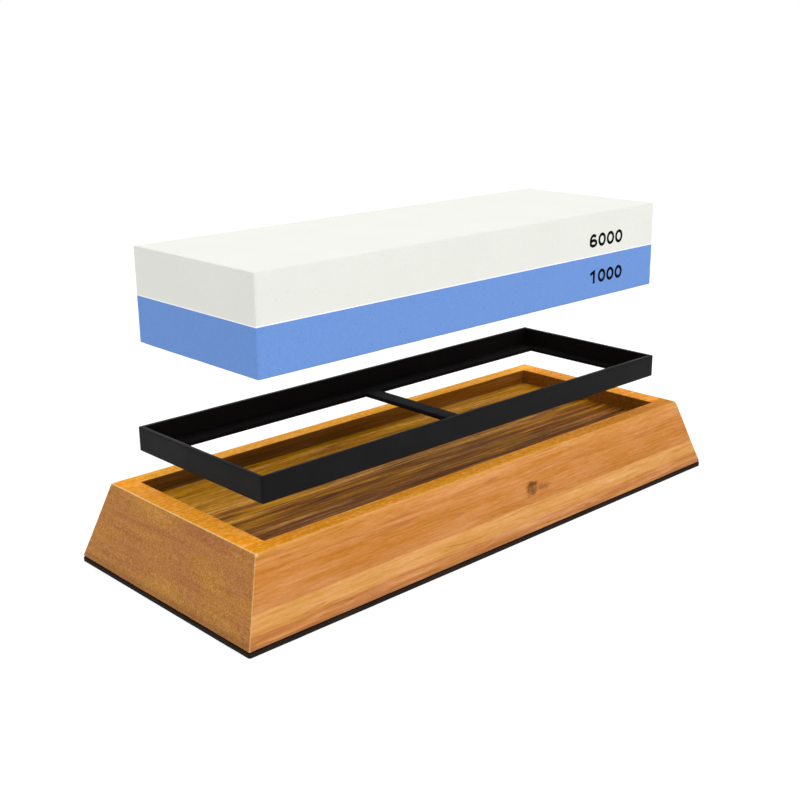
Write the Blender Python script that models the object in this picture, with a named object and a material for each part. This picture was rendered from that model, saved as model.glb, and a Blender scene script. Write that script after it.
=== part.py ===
"""Two-grit sharpening stone, its moulded holder frame and its wooden base.

The three groups are drawn apart on one vertical axis: the stone above the frame, the frame above
the base. Lowering the frame and then the stone puts the whetstone together for use.
X runs along the stone, Y across it, and Z = 0 is the bench under the anti-slip pad.
"""

import bmesh
import bpy

MM = 0.001
GAP = 0.3 * MM  # between pieces that touch or are glued together
OVERCUT = 1 * MM  # how far a cutter runs past the face that it opens

# Stone: two layers of different grit, bonded face to face
STONE_LENGTH = 180 * MM
STONE_WIDTH = 60 * MM
STONE_HEIGHT = 30 * MM
BOND_THICKNESS = 0.4 * MM
STONE_CHAMFER = 0.4 * MM

# Holder frame: an open tray whose bottom is a flange with a crossbar in the middle
HOLDER_WALL = 1.5 * MM
HOLDER_HEIGHT = 8 * MM
FLANGE_THICKNESS = 1.5 * MM
SIDE_FLANGE = 6.3 * MM  # how far the flange reaches in from the long walls
END_FLANGE = 3.3 * MM  # and from the short walls
CROSSBAR_WIDTH = 6 * MM
HOLDER_CHAMFER = 0.25 * MM

# Wooden base: four sloping sides and a flat recess for the holder
BASE_TOP_LENGTH = 199 * MM
BASE_TOP_WIDTH = 76 * MM
BASE_FOOT_LENGTH = 216.5 * MM
BASE_FOOT_WIDTH = 90 * MM
BASE_HEIGHT = 24.3 * MM
RECESS_DEPTH = 5.6 * MM
BASE_CHAMFER = 0.5 * MM

# Anti-slip pad under the base, and the adhesive film that holds it
PAD_THICKNESS = 1.2 * MM
PAD_INSET = 0.15 * MM
PAD_CORNER_RADIUS = 0.8 * MM
FILM_THICKNESS = 0.3 * MM
FILM_INSET = 3 * MM

# How far the pieces stand apart
HOLDER_ABOVE_BASE = 10.6 * MM  # from the base's rim to the underside of the holder
STONE_ABOVE_BASE = 45.8 * MM  # from the base's rim to the underside of the stone

# Sizes that follow from those above
LAYER_THICKNESS = (STONE_HEIGHT - BOND_THICKNESS) / 2 - GAP
TRAY_LENGTH = STONE_LENGTH + 2 * GAP
TRAY_WIDTH = STONE_WIDTH + 2 * GAP
HOLDER_LENGTH = TRAY_LENGTH + 2 * HOLDER_WALL
HOLDER_WIDTH = TRAY_WIDTH + 2 * HOLDER_WALL
RECESS_LENGTH = HOLDER_LENGTH + 2 * GAP
RECESS_WIDTH = HOLDER_WIDTH + 2 * GAP
FILM_BOTTOM = PAD_THICKNESS + GAP
BASE_BOTTOM = FILM_BOTTOM + FILM_THICKNESS + GAP
BASE_TOP = BASE_BOTTOM + BASE_HEIGHT
HOLDER_BOTTOM = BASE_TOP + HOLDER_ABOVE_BASE
STONE_BOTTOM = BASE_TOP + STONE_ABOVE_BASE

# Colour, roughness
FINE_GRIT = ((0.88, 0.88, 0.83), 0.75)
COARSE_GRIT = ((0.16, 0.33, 0.72), 0.8)
BOND = ((0.92, 0.94, 0.96), 0.6)
HOLDER_RUBBER = ((0.018, 0.019, 0.021), 0.5)
WOOD = ((0.60, 0.30, 0.09), 0.5)
PAD_RUBBER = ((0.025, 0.018, 0.014), 0.85)
ADHESIVE = ((0.75, 0.72, 0.62), 0.5)


def clear_scene():
    for obj in list(bpy.data.objects):
        bpy.data.objects.remove(obj, do_unlink=True)


def make_material(name, look):
    """A non-metallic material with the given base colour and roughness."""
    colour, roughness = look
    material = bpy.data.materials.new(name)
    material.use_nodes = True
    shader = material.node_tree.nodes["Principled BSDF"]
    shader.inputs["Base Color"].default_value = (*colour, 1)
    shader.inputs["Roughness"].default_value = roughness
    shader.inputs["Metallic"].default_value = 0
    return material


def make_empty(name, height, parent=None):
    """An empty on the vertical axis, at a height above its parent."""
    empty = bpy.data.objects.new(name, None)
    bpy.context.scene.collection.objects.link(empty)
    empty.location.z = height
    empty.parent = parent
    return empty


def make_block(name, length, width, height, parent, bottom=0, x=0):
    """A block centred on its parent's axis (or x off it), whose underside is at the height bottom."""
    mesh = bpy.data.meshes.new(name)
    solid = bmesh.new()
    bmesh.ops.create_cube(solid, size=1)
    bmesh.ops.scale(solid, vec=(length, width, height), verts=solid.verts)
    bmesh.ops.translate(solid, vec=(0, 0, height / 2), verts=solid.verts)
    solid.to_mesh(mesh)
    solid.free()
    block = bpy.data.objects.new(name, mesh)
    bpy.context.scene.collection.objects.link(block)
    block.location = (x, 0, bottom)
    block.parent = parent
    return block


def taper(block, top_length, top_width):
    """Moves the four upper corners of a block, so that its sides slope."""
    top = max(vertex.co.z for vertex in block.data.vertices)
    for vertex in block.data.vertices:
        if vertex.co.z == top:
            vertex.co.x = top_length / 2 if vertex.co.x > 0 else -top_length / 2
            vertex.co.y = top_width / 2 if vertex.co.y > 0 else -top_width / 2


def round_upright_edges(block, radius):
    """Rounds the four upright edges of a block."""
    solid = bmesh.new()
    solid.from_mesh(block.data)
    upright = [e for e in solid.edges if abs(e.verts[0].co.z - e.verts[1].co.z) > 0]
    bmesh.ops.bevel(solid, geom=upright, offset=radius, segments=6, profile=0.5, affect="EDGES")
    solid.to_mesh(block.data)
    solid.free()


def cut(block, cutter):
    """Takes the cutter's shape out of a block."""
    cutter.hide_render = True
    cutter.display_type = "WIRE"
    boolean = block.modifiers.new(f"cut {cutter.name}", "BOOLEAN")
    boolean.operation = "DIFFERENCE"
    boolean.object = cutter


def chamfer(block, width):
    """Takes the sharpness off every edge of a block."""
    bevel = block.modifiers.new("chamfer", "BEVEL")
    bevel.width = width
    bevel.segments = 1
    bevel.limit_method = "ANGLE"


def build_pad(root):
    """The rubber sheet under the base, and the adhesive film between the two."""
    pad = make_block(
        "anti_slip_pad",
        BASE_FOOT_LENGTH - 2 * PAD_INSET,
        BASE_FOOT_WIDTH - 2 * PAD_INSET,
        PAD_THICKNESS,
        root,
    )
    round_upright_edges(pad, PAD_CORNER_RADIUS)
    pad.data.materials.append(make_material("pad_rubber", PAD_RUBBER))
    film = make_block(
        "pad_adhesive_film",
        BASE_FOOT_LENGTH - 2 * FILM_INSET,
        BASE_FOOT_WIDTH - 2 * FILM_INSET,
        FILM_THICKNESS,
        root,
        FILM_BOTTOM,
    )
    film.data.materials.append(make_material("adhesive", ADHESIVE))


def build_base(root):
    """The wooden block with sloping sides and the recess that the holder drops into."""
    base = make_block(
        "wooden_base", BASE_FOOT_LENGTH, BASE_FOOT_WIDTH, BASE_HEIGHT, root, BASE_BOTTOM
    )
    taper(base, BASE_TOP_LENGTH, BASE_TOP_WIDTH)
    recess = make_block(
        "recess_cutter",
        RECESS_LENGTH,
        RECESS_WIDTH,
        RECESS_DEPTH + OVERCUT,
        root,
        BASE_TOP - RECESS_DEPTH,
    )
    cut(base, recess)
    chamfer(base, BASE_CHAMFER)
    base.data.materials.append(make_material("wood", WOOD))


def build_holder(lift):
    """The frame that grips the stone: a wall all round, a flange inside its foot and a crossbar."""
    holder = make_block("stone_holder_frame", HOLDER_LENGTH, HOLDER_WIDTH, HOLDER_HEIGHT, lift)
    tray_depth = HOLDER_HEIGHT - FLANGE_THICKNESS
    tray = make_block(
        "tray_cutter", TRAY_LENGTH, TRAY_WIDTH, tray_depth + OVERCUT, lift, FLANGE_THICKNESS
    )
    cut(holder, tray)
    window_end = TRAY_LENGTH / 2 - END_FLANGE
    window_length = window_end - CROSSBAR_WIDTH / 2
    window_width = TRAY_WIDTH - 2 * SIDE_FLANGE
    for side, name in ((-1, "left"), (1, "right")):
        window = make_block(
            f"{name}_window_cutter",
            window_length,
            window_width,
            FLANGE_THICKNESS + 2 * OVERCUT,
            lift,
            -OVERCUT,
            side * (CROSSBAR_WIDTH + window_length) / 2,
        )
        cut(holder, window)
    chamfer(holder, HOLDER_CHAMFER)
    holder.data.materials.append(make_material("holder_rubber", HOLDER_RUBBER))


def build_stone(lift):
    """The coarse layer below, the fine layer above and the bond line between them."""
    bond_bottom = LAYER_THICKNESS + GAP
    fine_bottom = bond_bottom + BOND_THICKNESS + GAP
    layers = (
        ("coarse_grit_layer", LAYER_THICKNESS, 0, COARSE_GRIT),
        ("bond_line", BOND_THICKNESS, bond_bottom, BOND),
        ("fine_grit_layer", LAYER_THICKNESS, fine_bottom, FINE_GRIT),
    )
    for name, thickness, bottom, look in layers:
        layer = make_block(name, STONE_LENGTH, STONE_WIDTH, thickness, lift, bottom)
        layer.data.materials.append(make_material(name, look))
        if thickness > 2 * STONE_CHAMFER:
            chamfer(layer, STONE_CHAMFER)


def main():
    clear_scene()
    root = make_empty("base_axis", 0)
    holder_lift = make_empty("holder_lift_axis", HOLDER_BOTTOM, root)
    stone_lift = make_empty("stone_lift_axis", STONE_BOTTOM - HOLDER_BOTTOM, holder_lift)
    build_pad(root)
    build_base(root)
    build_holder(holder_lift)
    build_stone(stone_lift)


main()
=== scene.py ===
"""The looks of the sharpening whetstone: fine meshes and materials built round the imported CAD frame."""

import itertools
import math

import bmesh
import bpy
import numpy as np
from mathutils import Matrix, Vector


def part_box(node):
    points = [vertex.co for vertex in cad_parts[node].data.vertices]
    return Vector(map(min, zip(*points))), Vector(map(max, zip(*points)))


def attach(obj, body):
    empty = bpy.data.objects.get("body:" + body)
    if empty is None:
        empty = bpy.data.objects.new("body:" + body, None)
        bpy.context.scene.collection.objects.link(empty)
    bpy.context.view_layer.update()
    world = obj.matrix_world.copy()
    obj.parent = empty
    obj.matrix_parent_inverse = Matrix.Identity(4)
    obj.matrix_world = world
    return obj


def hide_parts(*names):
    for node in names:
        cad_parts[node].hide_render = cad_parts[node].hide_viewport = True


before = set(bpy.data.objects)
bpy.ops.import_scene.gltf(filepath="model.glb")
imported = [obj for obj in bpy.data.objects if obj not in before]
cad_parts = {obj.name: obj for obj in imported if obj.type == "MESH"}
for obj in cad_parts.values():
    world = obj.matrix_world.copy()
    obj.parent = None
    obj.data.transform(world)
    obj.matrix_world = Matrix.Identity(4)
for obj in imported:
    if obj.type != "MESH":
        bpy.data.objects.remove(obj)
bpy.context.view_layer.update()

MM = 0.001

# Where the CAD puts each piece, at rest
COARSE_LOW, COARSE_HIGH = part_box("coarse_grit_layer")
FINE_LOW, FINE_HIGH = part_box("fine_grit_layer")
BOND_LOW, BOND_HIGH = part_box("bond_line")
HOLDER_LOW, HOLDER_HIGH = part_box("stone_holder_frame")
BASE_LOW, BASE_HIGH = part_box("wooden_base")
FILM_LOW, FILM_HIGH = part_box("pad_adhesive_film")
PAD_LOW, PAD_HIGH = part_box("anti_slip_pad")

# Where the fine meshes meet, across the small gaps that the CAD leaves between bonded pieces
COARSE_TOP = BOND_LOW.z
FINE_FOOT = BOND_HIGH.z
STONE_MIDDLE = (BOND_LOW.z + BOND_HIGH.z) / 2
BASE_FOOT = FILM_HIGH.z
PAD_TOP = FILM_LOW.z

# Holder sections, inwards from its outer faces
HOLDER_WALL = 1.5 * MM
FLANGE_THICKNESS = 1.5 * MM
SIDE_FLANGE = 6.3 * MM
END_FLANGE = 3.3 * MM
CROSSBAR_WIDTH = 6 * MM

# Base, half of each size: its rim, its foot just inside the CAD block, and its recess
BASE_TOP_HALF = Vector((99.5, 38)) * MM
BASE_FOOT_HALF = Vector((BASE_HIGH.x, BASE_HIGH.y)) - Vector((0.1, 0.1)) * MM
RECESS_HALF = Vector((92.1, 32.1)) * MM
RECESS_DEPTH = 5.6 * MM

# The knot in the long front side: its heart, and how far its hollow reaches along each axis
KNOT = Vector((13, -41.3, 15.4)) * MM
KNOT_SIZE = Vector((4.6, 40, 2.1)) * MM

# Grit numbers: the step from digit to digit, a digit's size, the pen, the ink, and the lower left corners
DIGIT_PITCH = 4.75 * MM
DIGIT_WIDTH = 4.2 * MM
DIGIT_HEIGHT = 4.7 * MM
PEN_WIDTH = 1.05 * MM
INK_THICKNESS = 0.04 * MM
FINE_NUMBER_AT = (53.4 * MM, STONE_MIDDLE + 3.0 * MM)
COARSE_NUMBER_AT = (53.9 * MM, STONE_MIDDLE - 9.8 * MM)

# How far apart the mesh lines of each piece are
STONE_PITCH = 1.5 * MM
HOLDER_PITCH = 2 * MM
WOOD_PITCH = 1.2 * MM
PAD_PITCH = 2 * MM
PAD_CORNER_PITCH = 0.2 * MM
PAD_LAYER_PITCH = 0.9 * MM

# How far the edges of each piece are rounded, and the pad's corners in plan
STONE_EDGE = 0.35 * MM
HOLDER_EDGE = 0.28 * MM
WOOD_EDGE = 0.35 * MM
PAD_EDGE = 0.2 * MM
PAD_CORNER = 0.8 * MM

# How near a mesh point lies to a face that it belongs to
CLOSE = 0.1 * MM

# Camera: where it stands round its aim, how far that is beside and above the origin, and its lens in mm
CAMERA_AZIMUTH = math.radians(-43.15)
CAMERA_ELEVATION = math.radians(17.2)
CAMERA_ROLL = math.radians(-0.57)
CAMERA_DISTANCE = 421.46 * MM
AIM_ASIDE = -6.51 * MM
AIM_HEIGHT = 40.58 * MM
SENSOR = 36
LENS = 54.8235

# Studio: the light's strength low down and overhead, what its two ends are dimmed to, and the floor's looks
SKY_LOW = 0.98
SKY_HIGH = 1.65
LEFT_SHADE = 0.3
RIGHT_SHADE = 0.75
FLOOR_GREY = (0.35, 0.35, 0.35, 1)
FLOOR_GLOW = 0.75


# ---------------------------------------------------------------- meshes


def planes(stops, pitch):
    """Lattice planes through every stop, with evenly spaced ones about a pitch apart between them."""
    found = [stops[0]]
    for low, high in zip(stops, stops[1:]):
        parts = max(1, round((high - low) / pitch))
        found += [low + (high - low) * n / parts for n in range(1, parts + 1)]
    return np.array(found)


def inside(marks, low, high):
    """Which lattice cells along one axis have their middle between low and high."""
    middle = (marks[:-1] + marks[1:]) / 2
    return (middle > low) & (middle < high)


def block_of(marks, low, high):
    """The lattice cells inside an upright box, as a 3-D array of true and false."""
    x, y, z = (inside(m, a, b) for m, a, b in zip(marks, low, high))
    return x[:, None, None] & y[None, :, None] & z[None, None, :]


def cell_mesh(name, marks, filled):
    """A closed quad mesh round the filled cells of a lattice whose planes lie at marks."""
    room = np.pad(filled.astype(int), 1)
    corners = []
    for axis in range(3):
        kept = [slice(1, -1)] * 3
        kept[axis] = slice(None)
        change = np.diff(room, axis=axis)[tuple(kept)]
        second, third = (axis + 1) % 3, (axis + 2) % 3
        for sign in (-1, 1):
            quads = np.repeat(np.argwhere(change == sign)[:, None], 4, axis=1)
            quads[:, 1:3, second] += 1
            quads[:, 2:4, third] += 1
            corners.append(quads if sign < 0 else quads[:, ::-1])
    corners = np.concatenate(corners)
    shape = tuple(len(m) for m in marks)
    flat = np.ravel_multi_index(corners.reshape(-1, 3).T, shape)
    used, index = np.unique(flat, return_inverse=True)
    points = np.stack([m[i] for m, i in zip(marks, np.unravel_index(used, shape))], axis=1)
    mesh = bpy.data.meshes.new(name)
    mesh.from_pydata(points.tolist(), [], index.reshape(-1, 4).tolist())
    obj = bpy.data.objects.new(name, mesh)
    bpy.context.scene.collection.objects.link(obj)
    return obj


def block_mesh(name, low, high, pitch):
    """A closed quad mesh of an upright block."""
    marks = [planes([a, b], pitch) for a, b in zip(low, high)]
    return cell_mesh(name, marks, block_of(marks, low, high))


def points_of(obj):
    """The object's vertex positions as an array."""
    points = np.empty(len(obj.data.vertices) * 3)
    obj.data.vertices.foreach_get("co", points)
    return points.reshape(-1, 3)


def normals_of(obj):
    """The object's vertex normals as an array."""
    normals = np.empty(len(obj.data.vertices) * 3)
    obj.data.vertices.foreach_get("normal", normals)
    return normals.reshape(-1, 3)


def move_points(obj, points):
    """Puts the object's vertices at new positions."""
    obj.data.vertices.foreach_set("co", points.ravel())
    obj.data.update()


def soften(obj, width, segments=3, sharp_level=None):
    """Rounds every sharp edge of the object, apart from those that lie at one level."""
    crease, smoothed = math.radians(30), math.radians(40)
    slack = 0.01 * MM
    mesh = bmesh.new()
    mesh.from_mesh(obj.data)
    edges = [
        edge
        for edge in mesh.edges
        if edge.calc_face_angle() > crease
        and (sharp_level is None or any(abs(v.co.z - sharp_level) > slack for v in edge.verts))
    ]
    bmesh.ops.bevel(mesh, geom=edges, offset=width, segments=segments, profile=0.5, affect="EDGES")
    mesh.to_mesh(obj.data)
    mesh.free()
    obj.data.shade_smooth()
    obj.data.set_sharp_from_angle(angle=smoothed)


def smooth_noise(points, size, seed):
    """Smooth noise from -1 to 1 at each point. Its bumps are size apart, one length or one for each axis."""
    count = 64
    table = np.random.default_rng(seed).uniform(-1, 1, (count, count, count))
    at = points / np.asarray(size) + count / 2
    low = np.floor(at).astype(int)
    part = at - low
    part = part * part * (3 - 2 * part)
    total = np.zeros(len(points))
    for corner in itertools.product((0, 1), repeat=3):
        weight = np.prod(np.where(corner, part, 1 - part), axis=1)
        i, j, k = ((low + corner) % count).T
        total += weight * table[i, j, k]
    return total


def set_mask(obj, name, values):
    """Keeps a number from 0 to 1 at each vertex, which a material reads by name."""
    mask = obj.data.attributes.new(name, "FLOAT", "POINT")
    mask.data.foreach_set("value", np.asarray(values, np.float32))


def near_edges(points, low, high):
    """How near each point is to an edge of its upright box: the second smallest distance to a face."""
    gaps = np.minimum(points - np.array(low), np.array(high) - points)
    return np.sort(gaps, axis=1)[:, 1]


def finish_piece(obj, body, slot, material, *nodes):
    """Gives a piece its material, says what moves it, and hides the CAD parts that it stands for. The slot is
    not used.
    """
    obj.data.materials.clear()
    obj.data.materials.append(material)
    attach(obj, body)
    if nodes:
        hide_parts(*nodes)


# ---------------------------------------------------------------- node trees

# A Mix node's two inputs and its output, by number, because the kinds of data share their names
MIX_SOCKETS = {"RGBA": (6, 7, 2), "FLOAT": (2, 3, 0)}


class Look:
    """A material under construction, with short ways to add the nodes that the looks here share."""

    def __init__(self, name):
        self.material = bpy.data.materials.new(name)
        self.material.use_nodes = True
        self.tree = self.material.node_tree
        self.shader = self.tree.nodes["Principled BSDF"]
        place = self.add("ShaderNodeTexCoord").outputs["Object"]
        self.millimetres = self.vector("SCALE", place, scale=1 / MM)

    def add(self, kind, **settings):
        """A new node with its settings."""
        node = self.tree.nodes.new(kind)
        for key, value in settings.items():
            setattr(node, key, value)
        return node

    def plug(self, socket, value):
        """Links an output to a socket, or sets the socket to a plain value."""
        if isinstance(value, bpy.types.NodeSocket):
            self.tree.links.new(value, socket)
        elif hasattr(value, "__len__") and len(value) == 3 and socket.type == "RGBA":
            socket.default_value = (*value, 1)
        else:
            socket.default_value = value

    def set(self, **values):
        """Sets the shader's inputs, written with _ for a space."""
        for key, value in values.items():
            self.plug(self.shader.inputs[key.replace("_", " ")], value)

    def vector(self, operation, a, b=(0, 0, 0), scale=1.0):
        """The result of vector arithmetic."""
        node = self.add("ShaderNodeVectorMath", operation=operation)
        self.plug(node.inputs[0], a)
        if operation == "SCALE":
            self.plug(node.inputs["Scale"], scale)
        else:
            self.plug(node.inputs[1], b)
        return node.outputs["Value" if operation == "LENGTH" else "Vector"]

    def calculate(self, operation, a, b=0.0, clamp=False):
        """The result of plain arithmetic, kept from 0 to 1 if it is clamped."""
        node = self.add("ShaderNodeMath", operation=operation, use_clamp=clamp)
        self.plug(node.inputs[0], a)
        self.plug(node.inputs[1], b)
        return node.outputs[0]

    def plus(self, a, b, clamp=False):
        """Two numbers added."""
        return self.calculate("ADD", a, b, clamp)

    def minus(self, a, b):
        """The second number taken from the first."""
        return self.calculate("SUBTRACT", a, b)

    def times(self, a, b):
        """Two numbers multiplied."""
        return self.calculate("MULTIPLY", a, b)

    def part(self, axis):
        """One coordinate of the surface point, in millimetres."""
        node = self.add("ShaderNodeSeparateXYZ")
        self.plug(node.inputs[0], self.millimetres)
        return node.outputs[axis]

    def measured(self, size, shift):
        """The surface point counted in steps of size, one length or one for each axis, and then shifted."""
        sizes = size if hasattr(size, "__len__") else (size, size, size)
        at = self.vector("MULTIPLY", self.millimetres, tuple(1 / s for s in sizes))
        return self.vector("ADD", at, (shift, shift, shift))

    def noise(self, size, detail=2.0, roughness=0.5, distortion=0.0, shift=0.0):
        """Noise from 0 to 1 with bumps about size millimetres apart: one length, or one for each axis."""
        node = self.add("ShaderNodeTexNoise")
        self.plug(node.inputs["Vector"], self.measured(size, shift))
        node.inputs["Scale"].default_value = 1
        node.inputs["Detail"].default_value = detail
        node.inputs["Roughness"].default_value = roughness
        node.inputs["Distortion"].default_value = distortion
        return node.outputs["Fac"]

    def grains(self, size, shift=0.0):
        """Distance from the nearest of the scattered points that lie about size millimetres apart."""
        node = self.add("ShaderNodeTexVoronoi")
        self.plug(node.inputs["Vector"], self.measured(size, shift))
        node.inputs["Scale"].default_value = 1
        return node.outputs["Distance"]

    def ramp(self, value, *stops):
        """A colour, or a grey level, read from stops of (position, level or colour)."""
        node = self.add("ShaderNodeValToRGB")
        self.plug(node.inputs[0], value)
        elements = node.color_ramp.elements
        while len(elements) < len(stops):
            elements.new(1.0)
        for element, (position, level) in zip(elements, stops):
            element.position = position
            colour = level if hasattr(level, "__len__") else (level, level, level)
            element.color = (*colour, 1)
        return node.outputs["Color"]

    def span(self, value, low, high, to_low=0.0, to_high=1.0, ease="SMOOTHSTEP"):
        """A value's place between low and high, as a number between to_low and to_high."""
        node = self.add("ShaderNodeMapRange", interpolation_type=ease)
        self.plug(node.inputs["Value"], value)
        self.plug(node.inputs["From Min"], low)
        self.plug(node.inputs["From Max"], high)
        self.plug(node.inputs["To Min"], to_low)
        self.plug(node.inputs["To Max"], to_high)
        return node.outputs["Result"]

    def mix(self, amount, a, b, kind="RGBA"):
        """Two colours, or two plain numbers, mixed by an amount from 0 to 1."""
        node = self.add("ShaderNodeMix", data_type=kind)
        first, second, result = MIX_SOCKETS[kind]
        self.plug(node.inputs["Factor"], amount)
        self.plug(node.inputs[first], a)
        self.plug(node.inputs[second], b)
        return node.outputs[result]

    def mask(self, name):
        """A number kept at each vertex by set_mask."""
        return self.add("ShaderNodeAttribute", attribute_name=name).outputs["Fac"]

    def bump(self, height, depth):
        """A normal that shows height as relief, depth millimetres deep."""
        node = self.add("ShaderNodeBump")
        self.plug(node.inputs["Height"], height)
        node.inputs["Distance"].default_value = depth * MM
        return node.outputs["Normal"]


def rgb(red, green, blue):
    """A linear colour from sRGB values of 0 to 255."""
    return tuple(
        c / 12.92 if c <= 0.04045 else ((c + 0.055) / 1.055) ** 2.4
        for c in (red / 255, green / 255, blue / 255)
    )


def scaled(colour, factor):
    """A colour made darker or lighter by one factor."""
    return tuple(c * factor for c in colour)


# ---------------------------------------------------------------- materials

# Lengths in the looks are millimetres, and a shift only moves a noise to another place


def grit_look(name, colour, dark, light, grain, relief):
    """Bonded abrasive: an even colour broken by fine grains, pin pores and faint lapping lines."""
    look = Look(name)
    cloud = look.noise(18, detail=3, shift=3)
    base = look.mix(look.span(cloud, 0.35, 0.65), colour, scaled(colour, 0.985))
    speck = look.noise(grain, detail=3, roughness=0.7)
    base = look.mix(look.span(speck, 0.58, 0.78), base, light)
    base = look.mix(look.span(speck, 0.42, 0.25), base, dark)
    pores = look.span(look.grains(grain * 9, shift=5), 0.10, 0.05)
    base = look.mix(look.times(pores, 0.35), base, dark)
    lapped = look.noise((60, 0.35, 60), detail=2, shift=11)
    height = look.plus(speck, look.times(lapped, 0.25))
    height = look.minus(height, look.times(pores, 0.6))
    rough = look.span(speck, 0.2, 0.8, 0.72, 0.9)
    look.set(Base_Color=base, Roughness=rough, Specular_IOR_Level=0.2)
    look.set(Normal=look.bump(height, relief))
    return look.material


def bond_look():
    """The pale resin line between the two grits."""
    look = Look("bond_resin")
    blotch = look.noise(2.5, detail=3)
    colour = look.ramp(blotch, (0.3, rgb(246, 249, 252)), (0.7, rgb(254, 254, 254)))
    look.set(Base_Color=colour, Roughness=look.span(blotch, 0.3, 0.7, 0.5, 0.7))
    look.set(Normal=look.bump(look.noise(0.6), 0.03))
    return look.material


def ink_look():
    """Stamped black ink, a little thin in places."""
    look = Look("stamp_ink")
    thin = look.noise(0.45, detail=3, roughness=0.65)
    colour = look.ramp(thin, (0.35, rgb(1, 1, 2)), (0.8, rgb(8, 8, 12)))
    look.set(Base_Color=colour, Roughness=look.span(thin, 0.3, 0.7, 0.5, 0.7))
    look.set(Specular_IOR_Level=0.03, Normal=look.bump(thin, 0.02))
    return look.material


def rubber_look(name, dark, light, rough, relief):
    """Moulded rubber: nearly black, with a fine matt texture, soft cloudy wear and a painted highlight at the
    lip, and painted shade on the inner faces.
    """
    look = Look(name)
    cloud = look.noise(14, detail=4, roughness=0.6)
    fine = look.noise(0.4, detail=3, roughness=0.6, shift=7)
    colour = look.mix(look.span(cloud, 0.35, 0.7), dark, light)
    dust = look.span(look.noise(1.3, detail=2, shift=21), 0.66, 0.76)
    colour = look.mix(look.times(dust, 0.2), colour, scaled(light, 2.2))
    # The lip turns lighter: wear, and a painted highlight along it
    wear_and_highlight = look.times(look.mask("edge"), look.span(cloud, 0.3, 0.6, 0.15, 0.6))
    colour = look.mix(wear_and_highlight, colour, scaled(light, 1.5))
    # Painted shade: the inner faces are darker, the crossbar by half
    colour = look.mix(look.mask("inner"), colour, rgb(20, 16, 13))
    wobble = look.times(look.noise(5, detail=2, shift=2), 0.6)
    height = look.plus(fine, wobble)
    satin = look.span(cloud, 0.3, 0.7, rough - 0.07, rough + 0.08)
    dull = look.times(look.mask("inner"), 0.3)
    look.set(Base_Color=colour, Specular_IOR_Level=0.07)
    look.set(Roughness=look.plus(satin, dull, clamp=True))
    look.set(Normal=look.bump(height, relief))
    return look.material


def film_look():
    """Pale double-sided tape."""
    look = Look("adhesive_film")
    wrinkle = look.noise((9, 3, 9), detail=3)
    look.set(Base_Color=look.ramp(wrinkle, (0.3, rgb(206, 200, 178)), (0.7, rgb(224, 219, 200))))
    look.set(Roughness=look.span(wrinkle, 0.3, 0.7, 0.35, 0.5))
    look.set(Normal=look.bump(wrinkle, 0.05))
    return look.material


def streaks(look, length, width, strength, shift=0.0, detail=3.0):
    """Streaks along the grain, as a number that swings both ways from 0 by about strength."""
    wave = look.noise((length, width, width), detail=detail, roughness=0.6, shift=shift)
    return look.span(wave, 0.3, 0.7, -strength, strength)


def fine_lines(look, length, width, sharpness, shift):
    """Thin dark lines along the grain, from 0 to 1, where a slow noise crosses its middle."""
    wave = look.noise((length, width, width), detail=1, shift=shift)
    away = look.calculate("ABSOLUTE", look.minus(wave, 0.5))
    line = look.span(away, sharpness, 0)
    broken = look.span(look.noise((length * 0.4, width, width), detail=2, shift=shift + 3), 0.4, 0.62)
    return look.times(line, broken)


def shade(look, colour, amount):
    """A colour made lighter or darker by an amount that swings both ways from 0."""
    lift = look.add("ShaderNodeHueSaturation")
    look.plug(lift.inputs["Color"], colour)
    look.plug(lift.inputs["Value"], look.plus(amount, 1.0))
    look.plug(lift.inputs["Saturation"], look.minus(1.0, look.times(amount, 0.45)))
    return lift.outputs["Color"]


def side_colours(look, fray):
    """Long sides: orange-brown wood over a straight pale band and a foot with gold patches, with one knot."""
    foot, top = BASE_LOW.z / MM, BASE_HIGH.z / MM
    wander = look.span(look.noise((80, 30, 30), detail=2, shift=6), 0.2, 0.8, -0.5, 0.5)
    height = look.plus(look.plus(look.part("Z"), wander), look.times(fray, 2.0))
    level = look.span(height, foot, top, ease="LINEAR")
    colour = look.ramp(
        level,
        (0.00, rgb(172, 112, 64)),
        (0.05, rgb(190, 121, 67)),
        (0.11, rgb(196, 127, 72)),
        (0.125, rgb(188, 122, 66)),
        (0.14, rgb(208, 143, 80)),
        (0.18, rgb(218, 157, 89)),
        (0.345, rgb(220, 159, 91)),
        (0.365, rgb(200, 131, 68)),
        (0.55, rgb(203, 133, 66)),
        (0.80, rgb(205, 134, 67)),
        (0.93, rgb(212, 143, 74)),
        (1.00, rgb(214, 146, 68)),
    )
    gold = look.noise((26, 9, 0.9), detail=3, roughness=0.6, shift=57)
    low_down = look.span(level, 0.2, 0.1)
    gold = look.times(look.span(gold, 0.48, 0.64, 0, 0.55), low_down)
    return knot_colours(look, look.mix(gold, colour, rgb(222, 160, 88)))


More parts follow.
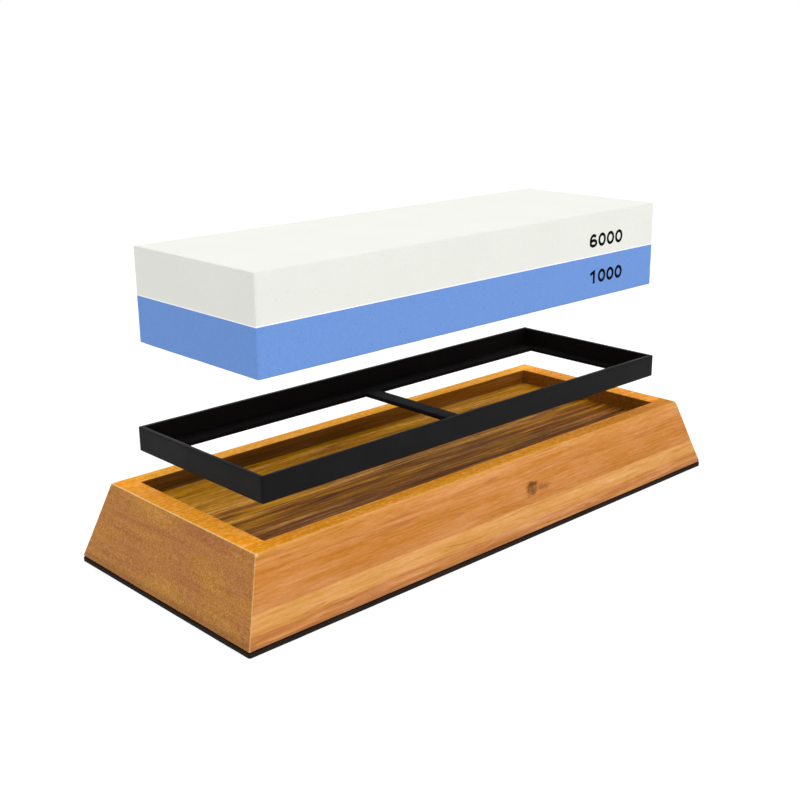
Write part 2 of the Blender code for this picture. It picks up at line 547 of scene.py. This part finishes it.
def knot_colours(look, colour):
    """The knot in the long front side: a soft halo, a tail along the grain, a dark heart and its brow."""
    away = look.vector("SUBTRACT", look.millimetres, tuple(KNOT / MM))
    torn = look.span(look.noise((2.2, 9, 1.2), detail=2, roughness=0.5, shift=8), 0.25, 0.75, -0.25, 0.25)

    def distance(size, shift=(0, 0, 0)):
        """How far a point lies from a patch's middle, as a share of its torn outline."""
        moved = look.vector("SUBTRACT", away, shift)
        shrunk = look.vector("MULTIPLY", moved, tuple(1 / s for s in size))
        return look.plus(look.vector("LENGTH", shrunk), torn)

    halo = distance((9, 60, 3.4), (2, 0, 0))
    colour = look.mix(look.span(halo, 1.2, 0.1, 0, 0.45), colour, rgb(176, 108, 48))
    tail = distance((5.0, 60, 1.0), (5.8, 0, -0.4))
    colour = look.mix(look.span(tail, 1.2, 0.1, 0, 0.6), colour, rgb(142, 82, 34))
    strokes = look.span(look.noise((0.8, 9, 3.2), detail=2, shift=12), 0.36, 0.60, 0.25, 0.85)
    heart = look.times(look.span(distance((3.3, 60, 2.5)), 1.15, 0.45), strokes)
    colour = look.mix(heart, colour, rgb(120, 68, 20))
    brow = look.span(distance((2.9, 60, 0.8), (0.3, 0, 1.5)), 1.1, 0.3, 0, 0.75)
    return look.mix(brow, colour, rgb(104, 58, 16))


def end_colours(look):
    """Ends: ochre-brown end grain with faint growth bands, and the fine pores in it as a second result."""
    bands = look.noise((90, 42, 1.9), detail=2, roughness=0.5, distortion=0.3, shift=14)
    colour = look.ramp(
        bands,
        (0.34, rgb(172, 111, 61)),
        (0.46, rgb(183, 124, 63)),
        (0.56, rgb(187, 130, 63)),
        (0.68, rgb(176, 117, 65)),
    )
    patch = look.noise((60, 26, 9), detail=1, shift=24)
    colour = look.mix(look.span(patch, 0.46, 0.66, 0, 0.5), colour, rgb(202, 145, 62))
    colour = look.mix(look.span(patch, 0.48, 0.32, 0, 0.45), colour, rgb(176, 114, 69))
    foot = BASE_LOW.z / MM
    # The end grain darkens towards the foot
    darkening_starts, darkening_full = foot + 3.2, foot + 0.8
    darkening = look.span(look.part("Z"), darkening_starts, darkening_full, 0, 0.35)
    colour = look.mix(darkening, colour, rgb(128, 84, 48))
    pores = look.noise((3, 0.6, 0.36), detail=3, roughness=0.75, shift=17)
    cloud = look.noise((30, 1.6, 0.9), detail=2, shift=27)
    speckle = look.span(pores, 0.32, 0.68, -0.17, 0.17)
    swing = look.plus(speckle, look.span(cloud, 0.3, 0.7, -0.05, 0.05))
    return shade(look, colour, swing), pores


def rim_colours(look, fray):
    """The rim: bright orange with fine streaks, yellower at the back and left as painted light, and browner
    along the front as painted shade.
    """
    along = look.ramp(
        look.noise((34, 2.2, 2.2), detail=3, roughness=0.6, shift=31),
        (0.30, rgb(236, 136, 8)),
        (0.50, rgb(250, 158, 16)),
        (0.68, rgb(255, 178, 36)),
    )
    fleck = look.noise((1.5, 0.9, 0.9), detail=3, roughness=0.7, shift=45)
    mottle = look.span(fleck, 0.32, 0.68, -0.13, 0.13)
    patch = look.span(look.noise((16, 5, 5), detail=2, shift=47), 0.40, 0.62, 0, 0.45)
    along = look.mix(patch, along, rgb(240, 140, 10))
    lines = look.times(fine_lines(look, 40, 1.6, 0.05, 33), 0.35)
    swing = look.plus(mottle, look.times(fray, 1.4))
    x, y = look.part("X"), look.part("Y")
    side_at, end_at = RECESS_HALF.y / MM, RECESS_HALF.x / MM
    # Painted shade: the front rim is browner, and darker towards its right end. Painted light: the back rim
    # and the left end of the rim are yellower
    front = look.mix(look.span(x, 10, 95), rgb(230, 148, 5), rgb(196, 118, 3))
    along = look.mix(look.span(y, side_at - 2.1, side_at + 1.9, 0, 0.85), along, rgb(255, 176, 24))
    along = look.mix(look.span(x, 1.1 - end_at, -1.9 - end_at, 0, 0.9), along, rgb(255, 163, 12))
    along = look.mix(look.span(y, 2.1 - side_at, -1.9 - side_at, 0, 0.85), along, front)
    return look.mix(lines, shade(look, along, swing), rgb(200, 106, 10))


def recess_colours(look, fray):
    """The recess: its walls, dark as painted shade, and its floor, gold at the back as painted light and
    brown at the front as painted shadow, with one dark seam.
    """
    tone = look.noise((70, 20, 4), detail=3, roughness=0.55, shift=35)
    # Painted shade: the walls are dark brown, less dark towards the right end
    wall = look.ramp(tone, (0.35, rgb(88, 60, 22)), (0.65, rgb(124, 80, 26)))
    wall = look.mix(look.span(look.part("X"), -40, 80, 0, 0.75), wall, rgb(168, 108, 30))
    wall = shade(look, wall, look.times(fray, 2.4))

    broad = look.noise((80, 5, 5), detail=3, roughness=0.5, distortion=0.4, shift=37)
    streak = look.noise((36, 1.9, 1.9), detail=3, roughness=0.62, shift=39)
    across = look.plus(look.part("Y"), look.span(broad, 0.3, 0.7, -13, 13))
    gold = look.ramp(streak, (0.34, rgb(176, 106, 6)), (0.5, rgb(226, 150, 10)), (0.66, rgb(244, 178, 28)))
    olive = look.ramp(streak, (0.34, rgb(112, 64, 8)), (0.5, rgb(180, 112, 14)), (0.66, rgb(226, 153, 24)))
    brown = look.ramp(streak, (0.34, rgb(104, 55, 8)), (0.5, rgb(158, 90, 14)), (0.66, rgb(208, 128, 22)))
    # Painted light and shadow: the floor is gold at the back, olive in the middle and brown at the front
    floor = look.mix(look.span(across, -2, 9), olive, gold)
    floor = look.mix(look.span(across, -6, -14), floor, brown)
    fleck = look.noise((2.5, 0.6, 0.6), detail=3, roughness=0.7, shift=49)
    mottle = look.span(fleck, 0.32, 0.68, -0.12, 0.12)
    bands = look.span(look.noise((90, 5, 5), detail=2, shift=59), 0.36, 0.64, -0.16, 0.12)
    swing = look.plus(look.plus(mottle, bands), look.times(fray, 1.2))
    floor = shade(look, floor, swing)
    seam_at = look.minus(look.part("Y"), look.span(broad, 0.2, 0.8, -20.6, -19.4))
    seam = look.span(look.calculate("ABSOLUTE", seam_at), 0.9, 0.2, 0.0, 0.75)
    lines = look.calculate("MAXIMUM", look.times(fine_lines(look, 70, 4.5, 0.03, 41), 0.6), seam)
    return wall, look.mix(look.times(lines, 0.8), floor, rgb(82, 42, 6))


def wood_look():
    """Oiled wood. The grain runs along X, and each side of the block is cut through it differently."""
    look = Look("oiled_wood")
    medium = streaks(look, 42, 0.9, 0.05, shift=4)
    fibre = streaks(look, 9, 0.33, 0.035, shift=9)
    broad = streaks(look, 90, 2.6, 0.05, shift=19, detail=2)
    # The fibres show on every cut along the grain
    fray = look.plus(medium, fibre)

    fleck = look.span(look.noise((4, 1.1, 0.55), detail=3, roughness=0.7, shift=51), 0.32, 0.68, -0.05, 0.05)
    patch = look.span(look.noise((26, 6, 3.5), detail=3, roughness=0.6, shift=53), 0.32, 0.68, -0.06, 0.06)
    mottle = look.plus(fleck, patch)
    side = shade(look, side_colours(look, fray), look.plus(look.plus(fray, broad), mottle))
    lines = look.times(fine_lines(look, 80, 3.2, 0.02, 43), 0.5)
    side = look.mix(lines, side, rgb(158, 92, 40))
    end, pores = end_colours(look)
    wall, floor = recess_colours(look, fray)
    colour = look.mix(look.mask("end_grain"), side, end)
    colour = look.mix(look.mask("rim"), colour, rim_colours(look, fray))
    colour = look.mix(look.mask("recess_wall"), colour, wall)
    colour = look.mix(look.mask("recess_floor"), colour, floor)
    # The edges turn cream: wear, and a painted highlight along them
    wear_and_highlight = look.times(look.mask("edge"), look.span(medium, -0.05, 0.05, 0.6, 1.0))
    colour = look.mix(wear_and_highlight, colour, rgb(255, 216, 150))

    # The relief is fibres along the grain, and pores on the ends
    relief = look.mix(look.mask("end_grain"), look.times(fray, 5.0), pores, kind="FLOAT")
    look.set(Base_Color=colour, Specular_IOR_Level=0.06)
    look.set(Roughness=look.span(medium, -0.05, 0.05, 0.62, 0.5))
    look.set(Normal=look.bump(relief, 0.06))
    return look.material


# ---------------------------------------------------------------- pieces


def build_grit_layer(name, low, high, joint, seed):
    """One layer of the stone: a block with fine broken edges and odd tiny chips, cut flush at the joint."""
    layer = block_mesh(name, low, high, STONE_PITCH)
    soften(layer, STONE_EDGE, segments=2, sharp_level=joint)
    points = points_of(layer)
    edge = near_edges(points, low, high)
    # Only the peaks of the noise chip the edge
    chip_depth, chip_spacing, chip_reach, chip_level = 0.45 * MM, 2.6 * MM, 0.8 * MM, 0.35
    chips = np.clip(smooth_noise(points, chip_spacing, seed) - chip_level, 0, 1)
    chips *= np.clip(1 - edge / chip_reach, 0, 1)
    wear_depth, wear_spacing, wear_reach = 0.05 * MM, 9 * MM, 1.2 * MM
    wear = np.abs(smooth_noise(points, wear_spacing, seed + 1)) * np.clip(1 - edge / wear_reach, 0, 1)
    away_from_joint = np.abs(points[:, 2] - joint) > 1.0 * MM
    depth = (chip_depth * chips + wear_depth * wear) * away_from_joint
    move_points(layer, points - normals_of(layer) * depth[:, None])
    return layer


def build_bond():
    """The resin between the layers, ground off almost flush with the stone's faces."""
    low = Vector((BOND_LOW.x, BOND_LOW.y, COARSE_TOP))
    high = Vector((BOND_HIGH.x, BOND_HIGH.y, FINE_FOOT))
    bond = block_mesh("bond_line_resin", low, high, STONE_PITCH)
    points = points_of(bond)
    mean_inset = 0.015 * MM
    inset = mean_inset * (1 + smooth_noise(points, 6 * MM, 31))
    half = np.array([high.x, high.y])
    points[:, :2] *= 1 - inset[:, None] / half
    move_points(bond, points)
    return bond


def arc(middle, radii, start, end, count=41):
    """Points on part of an ellipse, from one angle to another, in degrees anticlockwise from the right."""
    turn = np.radians(np.linspace(start, end, count))
    return [(middle[0] + radii[0] * math.cos(t), middle[1] + radii[1] * math.sin(t)) for t in turn]


def digit_strokes(digit, width, height, pen):
    """The centre lines of a plain sans-serif 0, 1 or 6, each with whether it closes on itself."""
    half, middle, edge = width / 2, height / 2, pen / 2
    if digit == "0":
        return [(arc((half, middle), (half - edge, middle - edge), 0, 360)[:-1], True)]
    if digit == "1":
        bar = width * 0.60
        flag = [(bar, height - edge * 1.3), (width * 0.34, height * 0.79), (width * 0.12, height * 0.70)]
        return [([(bar, 0), (bar, height)], False), (flag, False)]
    bowl = height * 0.315
    stem = arc((half, middle), (half - edge, middle - edge), 42, 205, 26)
    return [(arc((half, bowl), (half - edge, bowl - edge), 0, 360)[:-1], True), (stem, False)]


def draw_stroke(mesh, line, closed, pen, thickness):
    """Adds a flat ribbon of ink along a line, standing up from the sheet it is stamped on."""
    line = np.array(line)
    if closed:
        ahead, behind = np.roll(line, -1, axis=0), np.roll(line, 1, axis=0)
    else:
        ahead, behind = np.vstack([line[1:], line[-1:]]), np.vstack([line[:1], line[:-1]])
    along = ahead - behind
    along /= np.linalg.norm(along, axis=1)[:, None]
    aside = np.stack([-along[:, 1], along[:, 0]], axis=1) * pen / 2
    rings = [
        [
            mesh.verts.new((*(point + side * shift), lift))
            for side, lift in ((1, 0), (-1, 0), (-1, thickness), (1, thickness))
        ]
        for point, shift in zip(line, aside)
    ]
    count = len(rings)
    for n in range(count if closed else count - 1):
        here, there = rings[n], rings[(n + 1) % count]
        for k in range(4):
            mesh.faces.new((here[k], here[(k + 1) % 4], there[(k + 1) % 4], there[k]))
    if not closed:
        mesh.faces.new(rings[0][::-1])
        mesh.faces.new(rings[-1])


def build_number(text, left, foot):
    """A grit number stamped on the stone's long front face, with half of the ink's film standing proud."""
    mesh = bmesh.new()
    for place, digit in enumerate(text):
        for line, closed in digit_strokes(digit, DIGIT_WIDTH, DIGIT_HEIGHT, PEN_WIDTH):
            moved = [(x + place * DIGIT_PITCH, y) for x, y in line]
            draw_stroke(mesh, moved, closed, PEN_WIDTH, INK_THICKNESS)
    for vertex in mesh.verts:
        x, y, lift = vertex.co
        vertex.co = (left + x, FINE_LOW.y + INK_THICKNESS / 2 - lift, foot + y)
    bmesh.ops.recalc_face_normals(mesh, faces=mesh.faces)
    data = bpy.data.meshes.new(f"grit_number_{text}")
    mesh.to_mesh(data)
    mesh.free()
    number = bpy.data.objects.new(data.name, data)
    bpy.context.scene.collection.objects.link(number)
    return number


def build_holder():
    """The moulded frame: walls, a flange inside the foot and a crossbar, with soft lips."""
    low, high = HOLDER_LOW, HOLDER_HIGH
    tray = Vector((high.x - HOLDER_WALL, high.y - HOLDER_WALL))
    window = Vector((tray.x - END_FLANGE, tray.y - SIDE_FLANGE))
    bar = CROSSBAR_WIDTH / 2
    flange_top = low.z + FLANGE_THICKNESS
    marks = [
        planes([low.x, -tray.x, -window.x, -bar, bar, window.x, tray.x, high.x], HOLDER_PITCH),
        planes([low.y, -tray.y, -window.y, window.y, tray.y, high.y], HOLDER_PITCH),
        planes([low.z, flange_top, high.z], HOLDER_PITCH),
    ]
    filled = block_of(marks, low, high)
    filled &= ~block_of(marks, (-tray.x, -tray.y, flange_top), (tray.x, tray.y, high.z))
    for start, end in ((-window.x, -bar), (bar, window.x)):
        filled &= ~block_of(marks, (start, -window.y, low.z), (end, window.y, high.z))
    holder = cell_mesh("holder_frame_moulding", marks, filled)
    soften(holder, HOLDER_EDGE)
    mark_holder(holder, tray, window)
    points = points_of(holder)
    # The long walls bow a little, and the lip waves
    bow_depth, wave_height = 0.10 * MM, 0.05 * MM
    bow = bow_depth * smooth_noise(points, (45 * MM, 45 * MM, 30 * MM), 41)
    lip_wave = wave_height * smooth_noise(points, 12 * MM, 42) * (points[:, 2] > flange_top)
    points[:, 1] += bow * np.clip(np.abs(points[:, 1]) / high.y, 0, 1)
    points[:, 2] += lip_wave
    move_points(holder, points)
    return holder


def mark_holder(holder, tray, window):
    """Tells the rubber's material where the lip is, for its wear and painted highlight, and where the inner
    faces are, for their painted shade. The crossbar counts by half.
    """
    x, y, z = np.abs(points_of(holder)).T
    outer = (x > tray.x + CLOSE) | (y > tray.y + CLOSE)
    crossbar = (x < CROSSBAR_WIDTH / 2 + CLOSE) & (y < window.y)
    set_mask(holder, "edge", z > HOLDER_HIGH.z - 0.12 * MM)
    # The inner faces get painted shade
    set_mask(holder, "inner", np.where(crossbar, 0.5, ~outer))


def base_half(height):
    """Half the base's length and width at each height, as it slopes from foot to rim."""
    share = np.clip((height - BASE_FOOT) / (BASE_HIGH.z - BASE_FOOT), 0, 1)[:, None]
    return (1 - share) * np.array(BASE_FOOT_HALF) + share * np.array(BASE_TOP_HALF)


def build_base():
    """The wooden block: sloping sides, a recess with crisp walls, sanded edges and a sunk knot."""
    top, foot = BASE_HIGH.z, BASE_FOOT
    floor = top - RECESS_DEPTH
    reach = BASE_TOP_HALF
    marks = [
        planes([-reach.x, -RECESS_HALF.x, RECESS_HALF.x, reach.x], WOOD_PITCH),
        planes([-reach.y, -RECESS_HALF.y, RECESS_HALF.y, reach.y], WOOD_PITCH),
        planes([foot, floor, top], WOOD_PITCH),
    ]
    filled = np.ones(tuple(len(m) - 1 for m in marks), bool)
    filled &= ~block_of(marks, (-RECESS_HALF.x, -RECESS_HALF.y, floor), (*RECESS_HALF, top))
    base = cell_mesh("wooden_base_block", marks, filled)
    points = points_of(base)
    x, y, z = points.T
    recessed = (np.abs(x) < RECESS_HALF.x + CLOSE) & (np.abs(y) < RECESS_HALF.y + CLOSE) & (z > floor - CLOSE)
    spread = base_half(points[:, 2]) / np.array(reach)
    points[:, :2] *= np.where(recessed[:, None], 1, spread)
    move_points(base, points)
    soften(base, WOOD_EDGE)
    mark_base(base, floor)
    carve_base(base)
    return base


def mark_base(base, floor):
    """Tells the wood's material which face each vertex lies on, and how much wear and painted highlight its
    edge gets there.
    """
    x, y, z = points_of(base).T
    near, strip, edge_width = 0.06 * MM, 0.02 * MM, 0.4 * MM
    half = base_half(z)
    in_plan = (np.abs(x) < RECESS_HALF.x + near) & (np.abs(y) < RECESS_HALF.y + near)
    on_rim = z > BASE_HIGH.z - near
    on_floor = in_plan & (z < floor + near) & (z > floor - near)
    in_recess = in_plan & (z > floor + near) & ~on_rim
    on_end = (np.abs(x) > half[:, 0] - near) & ~on_rim
    gap_x, gap_y = half[:, 0] - np.abs(x), half[:, 1] - np.abs(y)
    near_end = (gap_x > strip) & (gap_x < edge_width)
    near_side = (gap_y > strip) & (gap_y < edge_width)
    lip = (z > BASE_HIGH.z - edge_width) & (z < BASE_HIGH.z - strip)
    set_mask(base, "rim", on_rim)
    set_mask(base, "recess_floor", on_floor)
    set_mask(base, "recess_wall", in_recess)
    set_mask(base, "end_grain", on_end)
    # Wear and painted highlight are strongest on the rim over the ends, then come the upright corners, and
    # least on the rim over the long sides
    wear_and_highlight = np.maximum.reduce([(lip & near_end) * 0.9, (near_end & near_side) * 0.4, (lip & near_side) * 0.25])
    set_mask(base, "edge", wear_and_highlight)


def carve_base(base):
    """Sanding waves, raised grain, and a shallow hollow with a low swelling round it at the knot."""
    points, normals = points_of(base), normals_of(base)
    wave_height, grain_height, hollow_depth, swelling_height = 0.05 * MM, 0.025 * MM, 0.22 * MM, 0.10 * MM
    wave = wave_height * smooth_noise(points, (34 * MM, 11 * MM, 11 * MM), 51)
    grain = grain_height * smooth_noise(points, (22 * MM, 1.6 * MM, 1.6 * MM), 52)
    # In shares of the knot's size: how wide the hollow is, and how far out and how narrow the swelling is
    hollow_reach, swelling_at, narrowness = 0.9, 1.7, 3
    apart = np.linalg.norm((points - np.array(KNOT)) / np.array(KNOT_SIZE), axis=1)
    hollow = -hollow_depth * np.exp(-((apart / hollow_reach) ** 2))
    swelling = swelling_height * np.exp(-((apart - swelling_at) ** 2) * narrowness)
    move_points(base, points + normals * (wave + grain + (hollow + swelling))[:, None])


def round_corners(points, half, radius):
    """Points of a lattice with its four upright corners bent to a radius."""
    out = np.abs(points[:, :2]) - (half - radius)
    corner = (out > 0).all(axis=1)
    turned = out[corner]
    turned *= (turned.max(axis=1) / np.linalg.norm(turned, axis=1))[:, None]
    points[corner, :2] = np.sign(points[corner, :2]) * (half - radius + turned)
    return points


def pad_planes(low, high):
    """Lattice planes along one side of the pad, in whole nanometres: close together only at its corners."""
    runs = (
        (low, low + PAD_CORNER, PAD_CORNER_PITCH),
        (low + PAD_CORNER, high - PAD_CORNER, PAD_PITCH),
        (high - PAD_CORNER, high, PAD_CORNER_PITCH),
    )
    return np.unique(np.concatenate([planes([a, b], pitch) for a, b, pitch in runs]).round(9))


def build_pad():
    """The sheet of rubber under the base, trimmed a little unevenly."""
    low, high = PAD_LOW, Vector((PAD_HIGH.x, PAD_HIGH.y, PAD_TOP))
    half = np.array(high.xy)
    marks = [pad_planes(low.x, high.x), pad_planes(low.y, high.y), planes([low.z, high.z], PAD_LAYER_PITCH)]
    pad = cell_mesh("anti_slip_sheet", marks, block_of(marks, low, high))
    move_points(pad, round_corners(points_of(pad), half, PAD_CORNER))
    soften(pad, PAD_EDGE, segments=2)
    points = points_of(pad)
    trim_depth, trim_width = 0.08 * MM, 0.5 * MM
    on_side = (half - np.abs(points[:, :2])).min(axis=1) < trim_width
    trim = trim_depth * smooth_noise(points, 14 * MM, 61) * on_side
    points[:, :2] -= np.sign(points[:, :2]) * np.abs(trim)[:, None]
    move_points(pad, points)
    for mask in ("edge", "inner"):
        set_mask(pad, mask, np.zeros(len(points)))
    return pad


# ---------------------------------------------------------------- studio


def build_camera():
    """The camera on the near left of the object, looking slightly down."""
    back = Vector(
        (
            math.sin(CAMERA_AZIMUTH) * math.cos(CAMERA_ELEVATION),
            -math.cos(CAMERA_AZIMUTH) * math.cos(CAMERA_ELEVATION),
            math.sin(CAMERA_ELEVATION),
        )
    )
    right = Vector((math.cos(CAMERA_AZIMUTH), math.sin(CAMERA_AZIMUTH), 0))
    camera = bpy.data.cameras.new("camera")
    camera.sensor_width, camera.lens = SENSOR, LENS
    camera.clip_start, camera.clip_end = 0.01, 100
    viewpoint = bpy.data.objects.new("camera", camera)
    bpy.context.scene.collection.objects.link(viewpoint)
    viewpoint.location = Vector((0, 0, AIM_HEIGHT)) + right * AIM_ASIDE + back * CAMERA_DISTANCE
    turn = (-back).to_track_quat("-Z", "Y").to_matrix()
    viewpoint.rotation_euler = (turn @ Matrix.Rotation(CAMERA_ROLL, 3, "Z")).to_euler()
    bpy.context.scene.camera = viewpoint


def build_floor():
    """A plain floor, wide enough to reach the horizon, that glows white like a light table."""
    mesh = bpy.data.meshes.new("floor")
    reach = 60
    below = -0.02 * MM
    mesh.from_pydata(
        [(-reach, -reach, below), (reach, -reach, below), (reach, reach, below), (-reach, reach, below)],
        [],
        [(0, 1, 2, 3)],
    )
    floor = bpy.data.objects.new("floor", mesh)
    bpy.context.scene.collection.objects.link(floor)
    material = bpy.data.materials.new("pale_floor")
    material.use_nodes = True
    shader = material.node_tree.nodes["Principled BSDF"]
    shader.inputs["Base Color"].default_value = FLOOR_GREY
    shader.inputs["Roughness"].default_value = 1
    shader.inputs["Specular IOR Level"].default_value = 0
    shader.inputs["Emission Color"].default_value = (1, 1, 1, 1)
    shader.inputs["Emission Strength"].default_value = FLOOR_GLOW
    mesh.materials.append(material)


def build_world():
    """A soft tent of light: brighter overhead, dimmer at its ends along X, and plain white to the camera."""
    world = bpy.data.worlds.new("studio")
    world.use_nodes = True
    bpy.context.scene.world = world
    tree = world.node_tree
    background = tree.nodes["Background"]
    background.inputs["Color"].default_value = (1, 1, 1, 1)

    def mapped(value, low, high, to_low, to_high):
        """A node that reads a value's place between low and high as a number between two others."""
        node = tree.nodes.new("ShaderNodeMapRange")
        for key, number in (("From Min", low), ("From Max", high), ("To Min", to_low), ("To Max", to_high)):
            node.inputs[key].default_value = number
        tree.links.new(value, node.inputs["Value"])
        return node

    # The direction's X runs from -1 at the left end to 1 at the right end, and its Z from 0 to 1 overhead
    toward = tree.nodes.new("ShaderNodeSeparateXYZ")
    direction = tree.nodes.new("ShaderNodeTexCoord").outputs["Generated"]
    tree.links.new(direction, toward.inputs[0])
    overhead = mapped(toward.outputs["Z"], 0, 1, SKY_LOW, SKY_HIGH)
    left = mapped(toward.outputs["X"], -1, 0.1, LEFT_SHADE, 1)
    right = mapped(toward.outputs["X"], 0.4, 1, 1, RIGHT_SHADE)
    tent = overhead
    for end in (left, right):
        dimmed = tree.nodes.new("ShaderNodeMath")
        dimmed.operation = "MULTIPLY"
        tree.links.new(tent.outputs[0], dimmed.inputs[0])
        tree.links.new(end.outputs["Result"], dimmed.inputs[1])
        tent = dimmed
    path = tree.nodes.new("ShaderNodeLightPath")
    level = mapped(path.outputs["Is Camera Ray"], 0, 1, 0, 1)
    tree.links.new(tent.outputs[0], level.inputs["To Min"])
    tree.links.new(level.outputs["Result"], background.inputs["Strength"])


def build_studio():
    """Everything round the object: the camera, the floor and the light."""
    bpy.context.scene.view_settings.view_transform = "Standard"
    build_camera()
    build_floor()
    build_world()


# ---------------------------------------------------------------- the object


def make_stone():
    """The two layers, their bond and the grit numbers."""
    white = grit_look(
        "fine_grit",
        colour=rgb(231, 232, 225),
        dark=rgb(211, 211, 204),
        light=rgb(240, 241, 235),
        grain=0.35,
        relief=0.02,
    )
    blue = grit_look(
        "coarse_grit",
        colour=rgb(108, 149, 216),
        dark=rgb(86, 127, 196),
        light=rgb(134, 170, 226),
        grain=0.55,
        relief=0.035,
    )
    fine_low = Vector((FINE_LOW.x, FINE_LOW.y, FINE_FOOT))
    coarse_high = Vector((COARSE_HIGH.x, COARSE_HIGH.y, COARSE_TOP))
    fine = build_grit_layer("fine_grit_block", fine_low, FINE_HIGH, joint=FINE_FOOT, seed=11)
    coarse = build_grit_layer("coarse_grit_block", COARSE_LOW, coarse_high, joint=COARSE_TOP, seed=21)
    finish_piece(fine, "stone", "fine_grit", white, "fine_grit_layer")
    finish_piece(coarse, "stone", "coarse_grit", blue, "coarse_grit_layer")
    finish_piece(build_bond(), "stone", "bond", bond_look(), "bond_line")
    ink = ink_look()
    finish_piece(build_number("6000", *FINE_NUMBER_AT), "stone", "fine_grit", ink)
    finish_piece(build_number("1000", *COARSE_NUMBER_AT), "stone", "coarse_grit", ink)


def make_holder():
    """The moulded frame in its rubber."""
    rubber = rubber_look("holder_rubber", dark=rgb(16, 16, 17), light=rgb(23, 23, 24), rough=0.5, relief=0.02)
    finish_piece(build_holder(), "holder", "holder_rubber", rubber, "stone_holder_frame")


def make_base():
    """The wooden block, the pad, and the film between them, which keeps its CAD shape."""
    finish_piece(build_base(), "base", "wood", wood_look(), "wooden_base")
    rubber = rubber_look("pad_rubber", dark=rgb(34, 26, 22), light=rgb(46, 36, 31), rough=0.8, relief=0.05)
    finish_piece(build_pad(), "base", "pad_rubber", rubber, "anti_slip_pad")
    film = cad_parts["pad_adhesive_film"]
    film.data.materials.clear()
    film.data.materials.append(film_look())


build_studio()
make_stone()
make_holder()
make_base()
